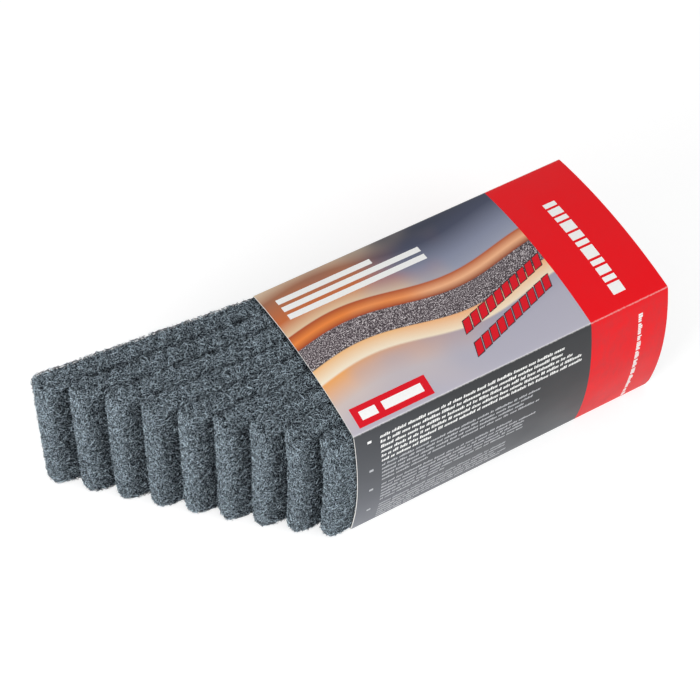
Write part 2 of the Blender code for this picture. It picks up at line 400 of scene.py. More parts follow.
def onto_soft_box(points, low, high, rounding, rise):
    """Moves points on or around a box's faces on to the box with soft edges, raised by an amount.

    The rounding is how far the soft edges reach along each of the three axes.
    """
    core = np.clip(points, low + rounding, high - rounding)
    reach = (points - core) / rounding
    reach /= np.maximum(np.linalg.norm(reach, axis=1, keepdims=True), 1e-9)
    outward = reach / rounding
    outward /= np.linalg.norm(outward, axis=1, keepdims=True)
    return core + reach * rounding + outward * np.reshape(rise, (-1, 1))


def box_skin(lines):
    """The corners and outward four-sided faces of a box's surface, cut along three rows of marks."""
    counts = [len(line) for line in lines]
    skin = np.zeros(counts, bool)
    for axis in range(3):
        face = np.moveaxis(skin, axis, 0)
        face[0] = face[-1] = True
    number = np.full(counts, -1)
    number[skin] = np.arange(skin.sum())
    points = np.stack([line[index] for line, index in zip(lines, np.nonzero(skin))], axis=1)
    faces = []
    for axis in range(3):
        for end in (0, -1):
            sheet = np.take(number, end, axis)
            quads = np.stack([sheet[:-1, :-1], sheet[1:, :-1], sheet[1:, 1:], sheet[:-1, 1:]], axis=-1)
            turned_out = (end == -1) != (axis == 1)
            faces.append(quads.reshape(-1, 4)[:, :: 1 if turned_out else -1])
    return points, np.concatenate(faces)


def soft_edges(pad, points, settings, flatter=1.0):
    """How far a pad's soft edges reach along it, across it and up it at each point, rounder near its ends."""
    along, up = points[:, 0], points[:, 2]
    from_end = np.minimum(along - pad["near"], pad["far"] - along)
    at_end = np.clip(2 - from_end / (3 * MM), 0, 1)
    edge, end = settings.edge_round, settings.end_round
    # The pack's own outer corner is crisper than the others.
    outer = pad["outermost"] & (points[:, 1] > pad["thickness"] / 2)
    widest = end * np.where(outer, 0.5, 1.15)
    across = np.minimum(edge + (widest - edge) * at_end, pad["thickness"] / 2 - 0.05 * MM)
    fullest = end * np.where(up < pad["height"] / 2, 0.9, 0.42)
    upwards = (edge + (fullest - edge) * at_end) * flatter
    return np.stack([np.full(len(points), end), across, upwards], axis=1)


def spaced(start, end, step):
    return np.linspace(start, end, max(2, round((end - start) / step) + 1))


def eased(values):
    """Values held between 0 and 1, with soft ends."""
    held = np.clip(values, 0, 1)
    return held * held * (3 - 2 * held)


def groove_shade(pad, points, settings):
    """How deep each point lies in a groove between pads or at the card's edge, from 0 to 1, where the web's tone is
    darkened as painted shade.
    """
    along, across, up = points.T
    thickness, height = pad["thickness"], pad["height"]
    shade = np.zeros(len(points))
    if pad["front_end"] is not None:
        reach = 9 * MM  # about one pad's step past the next
        on_front = eased(1 - (across - 1 * MM) / (1.5 * MM))
        shade = on_front * eased((along - pad["front_end"] + reach) / reach)
    shade *= eased((height - up - 1 * MM) / (4 * MM))
    # Along the tops the grooves, and their painted shade, come and go about every 7 mm.
    from_edge = np.minimum(across, thickness - across)
    gone = smooth_noise(points * np.array([1, 0, 0]) + pad["near"], 7 * MM, settings.seed + 2)
    edge = 1.5 * MM
    on_top = eased(1 - from_edge / edge) * eased(1 - (height - up) / edge) * eased(gone * 1.6 - 0.3)
    # A painted contact shadow on the web along the card's edge.
    card_contact_shadow = eased(1 - abs(along - SLEEVE["start"]) / edge)
    return np.maximum.reduce([shade, on_top, card_contact_shadow])


def web_body(pad, settings):
    """The pitted body of one pad, finer where it is seen, and what it holds at each corner point."""
    mouth = SLEEVE["start"]
    hidden_end = max(mouth + 5 * MM, pad["far"] - 11 * MM)
    along = np.concatenate(
        [
            spaced(pad["near"], mouth + 3 * MM, 1.0 * MM)[:-1],
            spaced(mouth + 3 * MM, hidden_end, 8 * MM)[:-1],
            spaced(hidden_end, pad["far"], 1.2 * MM),
        ]
    )
    lines = [along, spaced(0, pad["thickness"], 0.85 * MM), spaced(0, pad["height"], 1.0 * MM)]
    raw, faces = box_skin(lines)
    low = np.array([pad["near"], 0, 0])
    high = np.array([pad["far"], pad["thickness"], pad["height"]])
    # Pits of about 1 mm in clumps of about 5 mm, pushed in only, so that the pad keeps its CAD size.
    pits = 0.7 * smooth_noise(raw, 1.0 * MM, settings.seed) + 0.3 * smooth_noise(raw, 5 * MM, settings.seed + 1)
    in_sleeve = np.clip((raw[:, 0] - (mouth - 2 * MM)) / (2 * MM), 0, 1)
    depth = settings.pit_depth * (1 - 0.7 * in_sleeve)
    soft = onto_soft_box(raw, low, high, soft_edges(pad, raw, settings), -depth * pits)
    # The far ends and the pack's own back carry fewer fibres, so the body there is paler.
    pack_back = pad["outermost"] & (raw[:, 1] > pad["thickness"] - 0.1 * MM)
    sparse = np.maximum(eased((raw[:, 0] - mouth) / (10 * MM)), pack_back)
    # The body's tone is darker in the pits and, through groove_shade, in the grooves and by the card: painted shade.
    tone = 0.25 - 0.15 * pits - 0.2 * groove_shade(pad, raw, settings) + 0.25 * sparse
    return lay_on_pad(pad, soft), faces, tone


def fibre_paths(pad, face, kind, settings, rng):
    """Curled paths of one kind of fibre on one face of a pad, as (fibre, point, axis), and the fibres' tones."""
    axis, side, first_range, second_range, density, along_bias, bridge = face
    first, second = [a for a in range(3) if a != axis]
    area = (first_range[1] - first_range[0]) * (second_range[1] - second_range[0]) / (MM * MM)
    count = round(area * density * kind["number"])
    steps = len(kind["taper"])
    length = settings.fibre_length * kind["length"] * rng.uniform(0.6, 1.4, count)
    heading = rng.uniform(-math.pi, math.pi, count)
    heading = np.where(rng.random(count) < along_bias, rng.normal(0, 0.5, count), heading)
    turn = rng.normal(0, 0.65, count)
    angles = heading[:, None] + turn[:, None] * np.arange(steps - 1) + rng.normal(0, 0.22, (count, steps - 1))
    stride = (length / (steps - 1))[:, None]
    walk = np.zeros((count, steps, 2))
    walk[:, 1:, 0] = np.cumsum(np.cos(angles) * stride, axis=1)
    walk[:, 1:, 1] = np.cumsum(np.sin(angles) * stride, axis=1)
    walk -= walk.mean(axis=1, keepdims=True)
    low = np.array([pad["near"], 0, 0])
    high = np.array([pad["far"], pad["thickness"], pad["height"]])
    points = np.empty((count, steps, 3))
    points[..., axis] = high[axis] if side else low[axis]
    # The fibres are spread evenly and then shaken, so that the web has no bare spots and no rows.
    shake = 0.6 * MM
    spread = (np.outer(EVEN_SPREAD, np.arange(count)) + rng.random((2, 1))) % 1
    for number, (direction, (start, end)) in enumerate(((first, first_range), (second, second_range))):
        middle = start + (end - start) * spread[number] + rng.normal(0, shake, count)
        points[..., direction] = middle[:, None] + walk[..., number]
    peak = settings.fibre_rise * np.maximum(kind["loose"], rng.random(count) ** 1.6)
    # Fibres lie flat where the card covers the pad.
    free = np.clip((SLEEVE["start"] - 0.5 * MM - points[:, :, 0].max(axis=1)) / (3 * MM), 0, 1)
    peak = 0.05 * MM + peak * free
    arch = np.sin(np.linspace(0, math.pi, steps)) ** 0.8
    sunk = 0.22 * MM  # how deep a fibre's ends lie in the body
    rise = (peak + sunk)[:, None] * arch - sunk
    # Fibres on top bridge the grooves between pads, so they follow a slightly wider pad with flatter edges.
    wider = np.array([0, bridge, 0])
    middles = points.mean(axis=1)
    points = points.reshape(-1, 3)
    rounding = soft_edges(pad, points, settings, 0.7 if bridge else 1.0)
    placed = onto_soft_box(points, low - wider, high + wider, rounding, rise.ravel())
    # The fibres' tones are darkened in the grooves, along the tops' edges and at the card's edge: painted shade.
    tone = rng.uniform(*kind["tones"], count) - 0.36 * groove_shade(pad, middles, settings)
    paths = lay_on_pad(pad, placed)
    # The pads stand on the table, which presses their lowest fibres flat.
    paths[:, 2] = np.maximum(paths[:, 2], CAD_BOX[0][2] + settings.fibre_thickness * 0.6)
    return paths.reshape(count, steps, 3), tone


def fibre_tubes(paths, tone, kind, settings, rng):
    """Three-sided closed tubes along paths: their corner points, faces and tones."""
    count, steps, _ = paths.shape
    ahead = np.gradient(paths, axis=1)
    ahead /= np.linalg.norm(ahead, axis=2, keepdims=True)
    guide = rng.normal(size=(count, 1, 3))
    side = np.cross(ahead, guide)
    side /= np.maximum(np.linalg.norm(side, axis=2, keepdims=True), 1e-9)
    other = np.cross(ahead, side)
    radius = settings.fibre_thickness / 2 * rng.uniform(0.75, 1.25, count)
    reach = (radius[:, None] * kind["taper"])[..., None]
    turns = [2 * math.pi * k / 3 for k in range(3)]
    rings = np.stack([paths + reach * (math.cos(a) * side + math.sin(a) * other) for a in turns], axis=2)
    number = np.arange(count * steps * 3).reshape(count, steps, 3)
    walls = []
    for k in range(3):
        after = (k + 1) % 3
        here, there = number[:, :-1], number[:, 1:]
        walls.append(np.stack([here[..., k], here[..., after], there[..., after], there[..., k]], axis=-1))
    walls = np.concatenate(walls).reshape(-1, 4)
    caps = np.concatenate([number[:, 0, ::-1], number[:, -1, :]])
    return rings.reshape(-1, 3), walls, caps, np.repeat(tone, steps * 3)


def pad_faces(index, pad, settings):
    """The faces of a pad with fibres: axis, side, two ranges, fibres a square mm, lengthwise share, bridging."""
    near, thickness, height = pad["near"], pad["thickness"], pad["height"]
    mouth = SLEEVE["start"] + 0.8 * MM
    in_view = 11.5 * MM  # how much of a pad's front stands past the pad before it
    full = settings.fibres_per_square_mm
    across, up = (0, thickness), (0, height)
    bridge = 0.5 * MM
    faces = [
        (0, 0, across, up, full, 0.0, 0),
        (2, 1, (near, mouth), (-bridge, thickness + bridge), full * 1.3, 0.25, bridge),
        (1, 0, (near, mouth if index == 0 else min(mouth, near + in_view)), up, full, 0.0, 0),
        (2, 0, (near, mouth), across, full * 0.3, 0.3, 0),
        (0, 1, across, up, full * 0.6, 0.0, 0),
    ]
    if index == len(PAD_NODES) - 1:
        faces.append((1, 1, (near, mouth), up, full * 0.42, 0.0, 0))
    return faces


def make_pad(index, node, material, settings):
    """One pad: its pitted body and the fibres on it, in one mesh."""
    pad = measure_pad(index)
    rng = np.random.default_rng(settings.seed * 100 + index)
    points, faces, tones = web_body(pad, settings)
    all_points, all_faces, all_tones = [points], faces.tolist(), [tones]
    used = len(points)
    for face in pad_faces(index, pad, settings):
        for kind in (SHORT_FIBRES, LONG_STRANDS):
            paths, tone = fibre_paths(pad, face, kind, settings, rng)
            rings, walls, caps, ring_tones = fibre_tubes(paths, tone, kind, settings, rng)
            all_points.append(rings)
            all_faces += (walls + used).tolist() + (caps + used).tolist()
            all_tones.append(ring_tones)
            used += len(rings)
    piece = mesh_object(f"fleece_web_{index + 1}", np.concatenate(all_points), all_faces, [material])
    paint_values(piece.data, "tone", np.concatenate(all_tones))
    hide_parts(node)
    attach(piece, "root")


class HANDPADS_OT_fleece_pads(bpy.types.Operator):
    """Make the nine pads of abrasive fleece in the place of their CAD solids"""

    bl_idname = "handpads.fleece_pads"
    bl_label = "Fleece pads"

    def execute(self, context):
        settings = context.scene.hand_pad_fleece
        material = nylon_web(settings)
        for index, node in enumerate(PAD_NODES):
            make_pad(index, node, material, settings)
        return {"FINISHED"}


# The card sleeve


def arc_rise(chord, rise, along):
    """Height above its chord of a circular arc that stands rise above it, at a distance along the chord."""
    radius = (chord * chord / 4 + rise * rise) / (2 * rise)
    off_middle = min(abs(along - chord / 2), chord / 2)
    return math.sqrt(radius * radius - off_middle * off_middle) - (radius - rise)


def crown_at(x):
    share = min(max((x - SLEEVE["start"]) / (SLEEVE["end"] - SLEEVE["start"]), 0), 1)
    return SLEEVE["near_crown"] + (SLEEVE["far_crown"] - SLEEVE["near_crown"]) * share


def on_panel(panel, x, across):
    """The (y, z) of a place on a panel's outer face, across from the front fold or up from the table."""
    half = SLEEVE["half_width"]
    if panel == "top":
        return Vector((across - half, HEIGHT + arc_rise(WIDTH, crown_at(x), across)))
    if panel == "bottom":
        return Vector((across - half, 0.0))
    side = half + arc_rise(HEIGHT, SLEEVE["bulge"], across)
    return Vector((-side if panel == "front" else side, across))


def panel_normal(panel, x, across):
    step = 0.1 * MM
    run = on_panel(panel, x, across + step) - on_panel(panel, x, across - step)
    out = Vector((-run.y, run.x)) if panel in ("top", "front") else Vector((run.y, -run.x))
    return out.normalized()


def raised(panel, x, across, lift):
    """A point over a panel, lifted straight off it."""
    y, z = on_panel(panel, x, across) + panel_normal(panel, x, across) * lift
    return Vector((x, y, z))


# Going round the section, anticlockwise seen from the far end: the panel, its width, whether it is walked from
# high to low, and the number of pieces it is cut into.
WALK = (
    ("bottom", WIDTH, False, 18),
    ("back", HEIGHT, False, 16),
    ("top", WIDTH, True, 26),
    ("front", HEIGHT, True, 24),
)
BOTTOM_POINTS = WALK[0][3] + 1
FOLD_STEPS = 4
BLUNTED = 2.2 * MM
BLUNTED_LENGTH = 5 * MM


def sleeve_section(x, fold):
    """The outer section at a place along the sleeve: its points, their panels and their distances to a fold."""
    points, panels, wear = [], [], []
    for number, (panel, width, downwards, pieces) in enumerate(WALK):
        marks = np.linspace(fold, width - fold, pieces + 1)
        if downwards:
            marks = marks[::-1]
        for mark in marks:
            points.append(on_panel(panel, x, mark))
            panels.append(number)
            wear.append(min(mark, width - mark))
        following, next_width, next_down, _ = WALK[(number + 1) % 4]
        end = 0.0 if downwards else width
        corner = on_panel(panel, x, end)
        leaving = points[-1]
        arriving = on_panel(following, x, next_width - fold if next_down else fold)
        for k in range(1, FOLD_STEPS):
            t = k / FOLD_STEPS
            points.append(leaving * (1 - t) ** 2 + corner * 2 * t * (1 - t) + arriving * t * t)
            panels.append(number if k < FOLD_STEPS / 2 else (number + 1) % 4)
            wear.append(abs(t - 0.5) * fold)
    return points, panels, wear


def inset_section(points, thickness):
    """The section one card further in, or two where the glue flap lies on the bottom panel."""
    inner = []
    flap_edge = SLEEVE["half_width"] - FLAP_WIDTH
    count = len(points)
    for i, point in enumerate(points):
        run = (points[(i + 1) % count] - points[i - 1]).normalized()
        step = thickness
        if point.x > flap_edge and i < BOTTOM_POINTS:
            step += thickness
        inner.append(point + Vector((-run.y, run.x)) * step)
    return inner


def fold_wear(tree, place, colour, bare, reach, share):
    """Rubs a printed colour away to the bare card in specks along the folds, as handled boxes show."""
    distance = add_node(tree, "ShaderNodeAttribute", attribute_name="fold").outputs["Fac"]
    # The rubbed specks along a fold are about 0.8 mm long.
    specks = add_node(
        tree, "ShaderNodeTexNoise", {"Vector": place, "Scale": 1 / (0.8 * MM), "Detail": 3.0, "Roughness": 0.7}
    ).outputs[0]
    edge = add_node(
        tree, "ShaderNodeMath", {0: specks, 1: -2.2 * reach, 2: distance}, operation="MULTIPLY_ADD"
    ).outputs[0]
    rubbed = add_node(
        tree,
        "ShaderNodeMapRange",
        {"Value": edge, "From Min": -0.3 * reach, "From Max": -1.1 * reach, "To Max": share},
    ).outputs[0]
    return add_node(tree, "ShaderNodeMix", {0: rubbed, 6: colour, 7: (*bare, 1)}, data_type="RGBA").outputs[2]


def varnished(tree, place, colour, roughness, level):
    """Offset print under a thin varnish: smooth and softly glossy, over card that is never quite flat."""
    # The card ripples over about 14 mm, and its paper fibres show through as 0.5 mm.
    ripple = add_node(
        tree, "ShaderNodeTexNoise", {"Vector": place, "Scale": 1 / (14 * MM), "Detail": 1.0}
    ).outputs[0]
    fibre = add_node(
        tree, "ShaderNodeTexNoise", {"Vector": place, "Scale": 1 / (0.5 * MM), "Detail": 2.0}
    ).outputs[0]
    height = add_node(tree, "ShaderNodeMath", {0: fibre, 1: 0.04, 2: ripple}, operation="MULTIPLY_ADD").outputs[0]
    bump = add_node(tree, "ShaderNodeBump", {"Height": height, "Strength": 0.25, "Distance": 0.3 * MM}).outputs[0]
    gloss = add_node(
        tree, "ShaderNodeMapRange", {"Value": ripple, "To Min": roughness - 0.06, "To Max": roughness + 0.08}
    ).outputs[0]
    shader = add_node(
        tree,
        "ShaderNodeBsdfPrincipled",
        {"Base Color": colour, "Roughness": gloss, "Specular IOR Level": level, "IOR": 1.5, "Normal": bump},
    )
    finish_material(tree, shader)


def bare_boxboard(settings):
    """Uncoated folding boxboard: white, matt, with short paper fibres about 1 mm long."""
    material, tree, place = new_material("bare folding boxboard")
    fibre = add_node(tree, "ShaderNodeTexNoise", {"Vector": place, "Scale": 1 / (1 * MM), "Detail": 4.0}).outputs[0]
    darker = tuple(c * 0.86 for c in settings.bare)
    colour = add_node(
        tree, "ShaderNodeMix", {0: fibre, 6: (*darker, 1), 7: (*settings.bare, 1)}, data_type="RGBA"
    ).outputs[2]
    bump = add_node(tree, "ShaderNodeBump", {"Height": fibre, "Strength": 0.3, "Distance": 0.05 * MM}).outputs[0]
    shader = add_node(
        tree,
        "ShaderNodeBsdfPrincipled",
        {"Base Color": colour, "Roughness": 0.85, "Specular IOR Level": 0.3, "Normal": bump},
    )
    finish_material(tree, shader)
    return material


def red_boxboard(settings, name, worn, roughness):
    """Solid red offset print under gloss varnish, rubbed paler in fine scratches, which laid on thickly also make a
    painted sheen.
    """
    material, tree, place = new_material(name)
    stretched = add_node(tree, "ShaderNodeMapping", {"Vector": place, "Scale": (1.0, 1.0, 0.35)}).outputs[0]
    # Rub marks about 1.5 mm across, drawn out up the side, over patches of about 12 mm.
    rubs = add_node(
        tree, "ShaderNodeTexNoise", {"Vector": stretched, "Scale": 1 / (1.5 * MM), "Detail": 5.0, "Roughness": 0.75}
    ).outputs[0]
    patches = add_node(
        tree, "ShaderNodeTexNoise", {"Vector": place, "Scale": 1 / (12 * MM), "Detail": 2.0}
    ).outputs[0]
    both = add_node(tree, "ShaderNodeMath", {0: rubs, 1: patches}, operation="MULTIPLY").outputs[0]
    share = add_node(
        tree, "ShaderNodeMapRange", {"Value": both, "From Min": 0.14, "From Max": 0.42, "To Max": worn}
    ).outputs[0]
    colour = add_node(
        tree, "ShaderNodeMix", {0: share, 6: (*settings.red, 1), 7: (*settings.worn_and_sheen_red, 1)}, data_type="RGBA"
    ).outputs[2]
    varnished(tree, place, fold_wear(tree, place, colour, settings.bare, 0.28 * MM, 0.35), roughness, 0.15)
    return material


def grey_boxboard(settings):
    """Grey offset print on the long sides, dark at the top and far end, with a painted reflection of the table that
    makes them pale low at the near end.
    """
    material, tree, place = new_material("boxboard with grey offset print")
    axes = add_node(tree, "ShaderNodeSeparateXYZ", {0: place})
    along = add_node(
        tree,
        "ShaderNodeMath",
        {0: axes.outputs["X"], 1: 0.55 / PICTURE_LENGTH, 2: -0.55 * SLEEVE["start"] / PICTURE_LENGTH},
        operation="MULTIPLY_ADD",
    ).outputs[0]
    # Pale grey low at the near end, a painted reflection of the table, fading to the dark print up and along the
    # side.
    reflection_fade = add_node(
        tree, "ShaderNodeMath", {0: axes.outputs["Z"], 1: 0.55 / HEIGHT, 2: along}, operation="MULTIPLY_ADD"
    ).outputs[0]
    colour = add_node(
        tree,
        "ShaderNodeValToRGB",
        {0: reflection_fade},
        stops=((0.0, settings.pale_grey_reflection), (0.35, "4D5056"), (0.75, settings.dark_grey), (1.0, settings.dark_grey)),
    ).outputs[0]
    varnished(tree, place, fold_wear(tree, place, colour, settings.bare, 0.3 * MM, 0.4), 0.38, 0.3)
    return material


# The picture panel's ribbons of colour, from the front fold to the back one, at its near and its far end.
NEAR_RIBBONS = (
    (0.00, "B9B4C0"),
    (0.16, "CFC0BC"),
    (0.30, "F0A860"),
    (0.312, "F7EBD4"),
    (0.398, "F3BE82"),
    (0.402, "5F5058"),
    (0.538, "7C6C70"),
    (0.542, "A8431C"),
    (0.585, "F08A3C"),
    (0.637, "B04A20"),
    (0.643, "E8C9A4"),
    (0.74, "C96A34"),
    (0.90, "A3694A"),
    (1.00, "E2CBAE"),
)
FAR_RIBBONS = (
    (0.00, "B4B2BF"),
    (0.20, "B0AEBC"),
    (0.30, "A3A1B2"),
    (0.312, "F5E3C6"),
    (0.398, "F2B480"),
    (0.402, "57494F"),
    (0.538, "6E6268"),
    (0.542, "8F3E20"),
    (0.585, "F6B88C"),
    (0.637, "B85A30"),
    (0.643, "9A9FB2"),
    (0.74, "858BA1"),
    (0.90, "3D435A"),
    (1.00, "2C3246"),
)


def picture_boxboard(settings):
    """Four-colour offset print under gloss varnish: waves in warm and slate colours, one of them grainy."""
    material, tree, place = new_material("boxboard with four-colour offset print")
    axes = add_node(tree, "ShaderNodeSeparateXYZ", {0: place})
    along = add_node(
        tree,
        "ShaderNodeMath",
        {0: axes.outputs["X"], 1: 1 / PICTURE_LENGTH, 2: -SLEEVE["start"] / PICTURE_LENGTH},
        operation="MULTIPLY_ADD",
    ).outputs[0]
    across = add_node(
        tree, "ShaderNodeMath", {0: axes.outputs["Y"], 1: 1 / WIDTH, 2: 0.5}, operation="MULTIPLY_ADD"
    ).outputs[0]
    turn = add_node(tree, "ShaderNodeMath", {0: along, 1: 2 * math.pi * WAVE_COUNT}, operation="MULTIPLY").outputs[0]
    wave = add_node(tree, "ShaderNodeMath", {0: turn}, operation="SINE").outputs[0]
    ribbon = add_node(
        tree, "ShaderNodeMath", {0: wave, 1: -WAVE_SWING, 2: across}, operation="MULTIPLY_ADD"
    ).outputs[0]
    near = add_node(tree, "ShaderNodeValToRGB", {0: ribbon}, stops=NEAR_RIBBONS).outputs[0]
    far = add_node(tree, "ShaderNodeValToRGB", {0: ribbon}, stops=FAR_RIBBONS).outputs[0]
    # The change from the warm end to the cool one wanders by about 25 mm.
    drift = add_node(tree, "ShaderNodeTexNoise", {"Vector": place, "Scale": 1 / (25 * MM), "Detail": 1.0}).outputs[0]
    wandering = add_node(tree, "ShaderNodeMath", {0: drift, 1: 0.7, 2: along}, operation="MULTIPLY_ADD").outputs[0]
    share = add_node(
        tree,
        "ShaderNodeMapRange",
        {"Value": wandering, "From Min": 0.5, "From Max": 1.0},
        interpolation_type="SMOOTHSTEP",
    ).outputs[0]
    waves = add_node(tree, "ShaderNodeMix", {0: share, 6: near, 7: far}, data_type="RGBA").outputs[2]
    # The grainy ribbon's specks are 0.45 mm.
    specks = add_node(
        tree, "ShaderNodeTexNoise", {"Vector": place, "Scale": 1 / (0.45 * MM), "Detail": 2.0, "Roughness": 0.8}
    ).outputs[0]
    grain = add_node(
        tree,
        "ShaderNodeValToRGB",
        {0: specks},
        stops=((0.42, "161013"), (0.50, "4C4147"), (0.56, "8F8389"), (0.63, "F4EEEE")),
    ).outputs[0]
    in_ribbon = add_node(
        tree,
        "ShaderNodeValToRGB",
        {0: ribbon},
        stops=((0.398, (0, 0, 0)), (0.402, (1, 1, 1)), (0.538, (1, 1, 1)), (0.542, (0, 0, 0))),
    ).outputs[0]
    grainy = add_node(tree, "ShaderNodeMath", {0: in_ribbon, 1: 0.9}, operation="MULTIPLY").outputs[0]
    colour = add_node(tree, "ShaderNodeMix", {0: grainy, 6: waves, 7: grain}, data_type="RGBA").outputs[2]
    varnished(tree, place, fold_wear(tree, place, colour, settings.bare, 0.3 * MM, 0.5), 0.34, 0.3)
    return material


def make_sleeve(settings):
    """The sleeve as one closed solid of card: outer print, inner bare card and cut ends."""
    start, end = SLEEVE["start"], SLEEVE["end"]
    stations = np.concatenate([spaced(start, BAND_START, 2 * MM)[:-1], spaced(BAND_START, end, 1.6 * MM)])
    materials = [
        picture_boxboard(settings),
        grey_boxboard(settings),
        red_boxboard(settings, "boxboard with red offset print", 0.15, 0.32),
        # The long sides take far more of the paler rub marks than the top: partly wear, partly a painted sheen of the
        # varnish seen at a slant.
        red_boxboard(settings, "boxboard with rubbed red offset print and painted sheen", 0.8, 0.42),
        bare_boxboard(settings),
    ]
    picture, grey, red, rubbed_and_sheen_red, bare = range(5)
    points, wear, faces, finishes = [], [], [], []
    for x in stations:
        outer, panels, folds = sleeve_section(x, settings.fold_round)
        inner = inset_section(outer, settings.card_thickness)
        count = len(outer)
        for place in outer + inner:
            # The lower front corner of the far end is blunted by handling.
            in_corner = max(0.0, BLUNTED - abs(place.x + SLEEVE["half_width"]) - place.y)
            pulled = 0.8 * in_corner * min(max((x - end + BLUNTED_LENGTH) / BLUNTED_LENGTH, 0.0), 1.0)
            points.append((x - pulled, place.x, place.y))
        wear += folds + [1.0] * count
    ring = 2 * count
    for k, (a, b) in enumerate(zip(stations, stations[1:])):
        red_part = (a + b) / 2 > BAND_START
        here, there = k * ring, (k + 1) * ring
        for i in range(count):
            j = (i + 1) % count
            faces.append((here + i, here + j, there + j, there + i))
            panel = WALK[panels[i]][0]
            if red_part:
                finishes.append(red if panel == "top" else rubbed_and_sheen_red)
            else:
                finishes.append(picture if panel == "top" else grey)
            i, j = i + count, j + count
            faces.append((here + j, here + i, there + i, there + j))
            finishes.append(bare)
    last = (len(stations) - 1) * ring
    for i in range(count):
        j = (i + 1) % count
        faces.append((j, i, i + count, j + count))
        faces.append((last + i, last + j, last + j + count, last + i + count))
        finishes += [bare, bare]
    piece = mesh_object("printed_sleeve", points, faces, materials, finishes)
    piece.data.set_sharp_from_angle(angle=math.radians(50))
    paint_values(piece.data, "fold", wear)
    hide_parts(SLEEVE_NODE)
    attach(piece, "root")


class HANDPADS_OT_card_sleeve(bpy.types.Operator):
    """Make the printed card sleeve in the place of its CAD solid"""

    bl_idname = "handpads.card_sleeve"
    bl_label = "Card sleeve"

    def execute(self, context):
        make_sleeve(context.scene.hand_pad_sleeve)
        return {"FINISHED"}


# The printed shapes on the sleeve


INK_ROUGHNESS = 0.33


def printing_ink(name, colour):
    """Opaque offset ink under varnish, a little uneven where it sank into the card."""
    material, tree, place = new_material(name)
    # Ink lies thinner in patches of 0.7 mm.
    uneven = add_node(
        tree, "ShaderNodeTexNoise", {"Vector": place, "Scale": 1 / (0.7 * MM), "Detail": 2.0}
    ).outputs[0]
    thin = tuple(c * 0.9 for c in colour)
    shade = add_node(tree, "ShaderNodeMix", {0: uneven, 6: (*thin, 1), 7: (*colour, 1)}, data_type="RGBA").outputs[2]
    gloss = add_node(
        tree, "ShaderNodeMapRange", {"Value": uneven, "To Min": INK_ROUGHNESS - 0.05, "To Max": INK_ROUGHNESS + 0.05}
    ).outputs[0]
    shader = add_node(
        tree, "ShaderNodeBsdfPrincipled", {"Base Color": shade, "Roughness": gloss, "Specular IOR Level": 0.2}
    )
    finish_material(tree, shader)
    return material


ROW_WIDTH = 3 * MM
INK_SUNK = 0.02 * MM


def add_shape(shape, panel, corners, height):
    """A thin closed plate over a panel, from four corners as (along from the mouth, across or up)."""
    widest = max(abs(corners[3][1] - corners[0][1]), abs(corners[2][1] - corners[1][1]))
    rows = max(1, math.ceil(widest / ROW_WIDTH))
    layers = []
    for lift in (-INK_SUNK, height):
        layer = []
        for r in range(rows + 1):
            t = r / rows
            pair = []
            for low, high in ((corners[0], corners[3]), (corners[1], corners[2])):
                along = low[0] + (high[0] - low[0]) * t
                across = low[1] + (high[1] - low[1]) * t
                pair.append(shape.verts.new(raised(panel, SLEEVE["start"] + along, across, lift)))
            layer.append(pair)
        layers.append(layer)
    under, over = layers
    for r in range(rows):
        shape.faces.new((over[r][0], over[r][1], over[r + 1][1], over[r + 1][0]))
        shape.faces.new((under[r][0], under[r + 1][0], under[r + 1][1], under[r][1]))
        for side in (0, 1):
            shape.faces.new((under[r][side], over[r][side], over[r + 1][side], under[r + 1][side]))
    for r in (0, rows):
        shape.faces.new((under[r][0], under[r][1], over[r][1], over[r][0]))


def upright_bar(x0, x1, low, high):
    """The corners of a bar square to the panel's edges, in mm."""
    return [(x0 * MM, low * MM), (x1 * MM, low * MM), (x1 * MM, high * MM), (x0 * MM, high * MM)]


def print_piece(name, material, shapes, height):
    """One piece of like printed shapes, each given as (panel, corners)."""
    shape = bmesh.new()
    for panel, corners in shapes:
        add_shape(shape, panel, corners, height)
    bmesh.ops.recalc_face_normals(shape, faces=shape.faces[:])
    mesh = bpy.data.meshes.new(name)
    shape.to_mesh(mesh)
    shape.free()
    mesh.materials.append(material)
    piece = bpy.data.objects.new(name, mesh)
    bpy.context.scene.collection.objects.link(piece)
    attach(piece, "root")


def headline_stripes():
    """Three white stripes along the back of the picture panel."""
    stripes = ((62.0, 52.6), (62.0, 56.9), (44.0, 61.2))
    return [("top", upright_bar(5.0, end, low, low + 2.6)) for end, low in stripes]


# Two rows of leaning bars: the near and far ends as (along, low edge, high edge), the lean and the number of bars.
SLANTED_ROWS = (((56, 16.5, 21.5), (97, 29.5, 34.5), 1.6, 10), ((55, 7.0, 12.0), (95, 20.0, 25.0), 1.6, 10))
# Blocks of tick rows on the front panel: the top, the number of rows and how far they reach.
WHITE_BLOCKS = ((55.4, 6, 94),)
PALE_BLOCKS = ((40.4, 5, 80), (28.6, 6, 74), (14.0, 6, 66))
BAND_DASHES = (4.6, 2.2, 3.4, 2.2, 5.4, 2.2, 3.4, 4.6, 2.2, 3.4, 2.2)
TICK_GAP = 0.22
RUN_GAP = 0.65
TICK_LEAN = 0.3


def slanted_row(first, last, lean, bars, grow):
    """A row of leaning bars between two places on the picture panel, each grown by a rim, in mm."""
    found = []
    for k in range(bars):
        share, following = k / bars, (k + 0.74) / bars
        corners = []
        for t, up in ((share, 0), (following, 0), (following, 1), (share, 1)):
            x = first[0] + (last[0] - first[0]) * t + (lean if up else 0)
            y = first[1 + up] + (last[1 + up] - first[1 + up]) * t
            corners.append((x, y))
        middle_x = sum(c[0] for c in corners) / 4
        middle_y = sum(c[1] for c in corners) / 4
        spread = [
            ((x + math.copysign(grow, x - middle_x)) * MM, (y + math.copysign(grow, y - middle_y)) * MM)
            for x, y in corners
        ]
        found.append(("top", spread))
    return found


